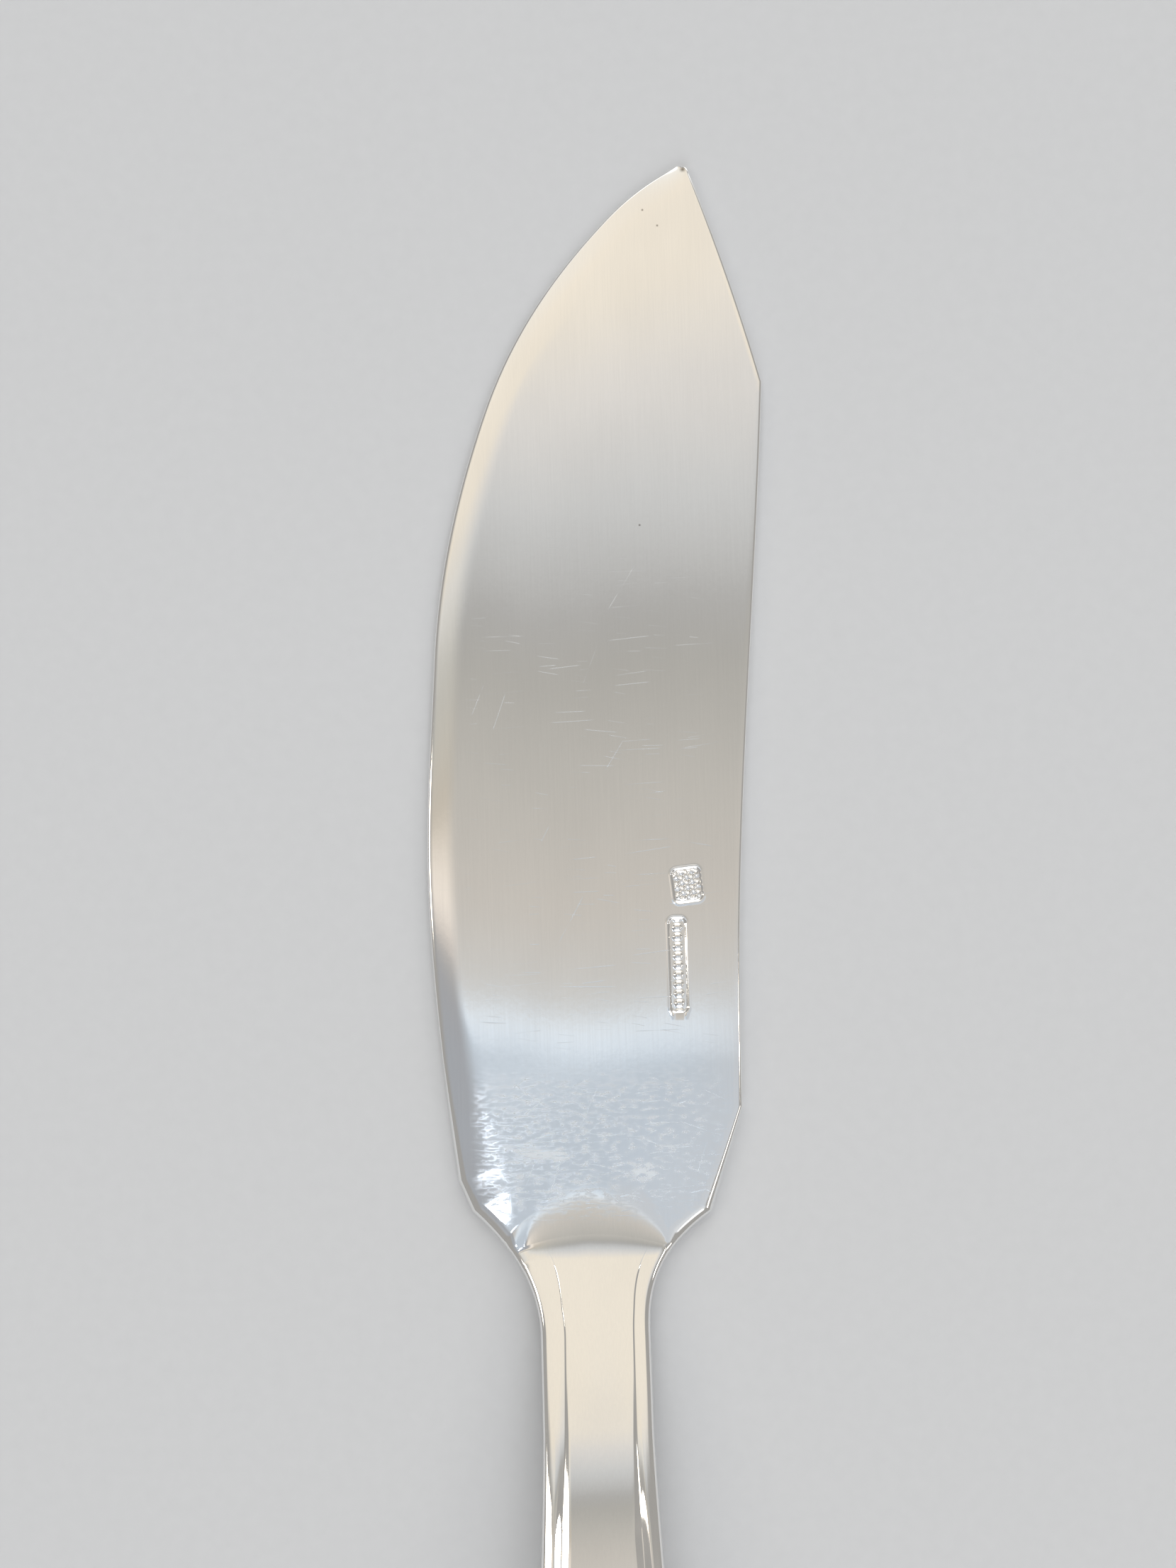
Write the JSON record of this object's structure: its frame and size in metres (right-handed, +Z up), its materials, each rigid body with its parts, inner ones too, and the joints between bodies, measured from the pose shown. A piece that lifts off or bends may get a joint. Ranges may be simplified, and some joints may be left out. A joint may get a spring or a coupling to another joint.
{
  "type": "fish knife",
  "caption": "Table fish knife with a broad flat blade, clipped tip, two shoulders, an upswept neck and an arched, round-ended handle edged with a thread.",
  "frame": {"origin": "centre of the bounding box's base, on the table", "axes": "+Y towards the tip, +X towards the blade's spine, +Z up from the table that the blade lies on"},
  "size_m": [0.028, 0.2031, 0.009],
  "materials": {
    "silver_plate": "satin, fine lengthwise brushing with use scratches",
    "braze": "as cast"
  },
  "bodies": {
    "root": {"blade": "silver_plate", "handle": "silver_plate", "braze_seam": "braze"}
  },
  "joints": []
}
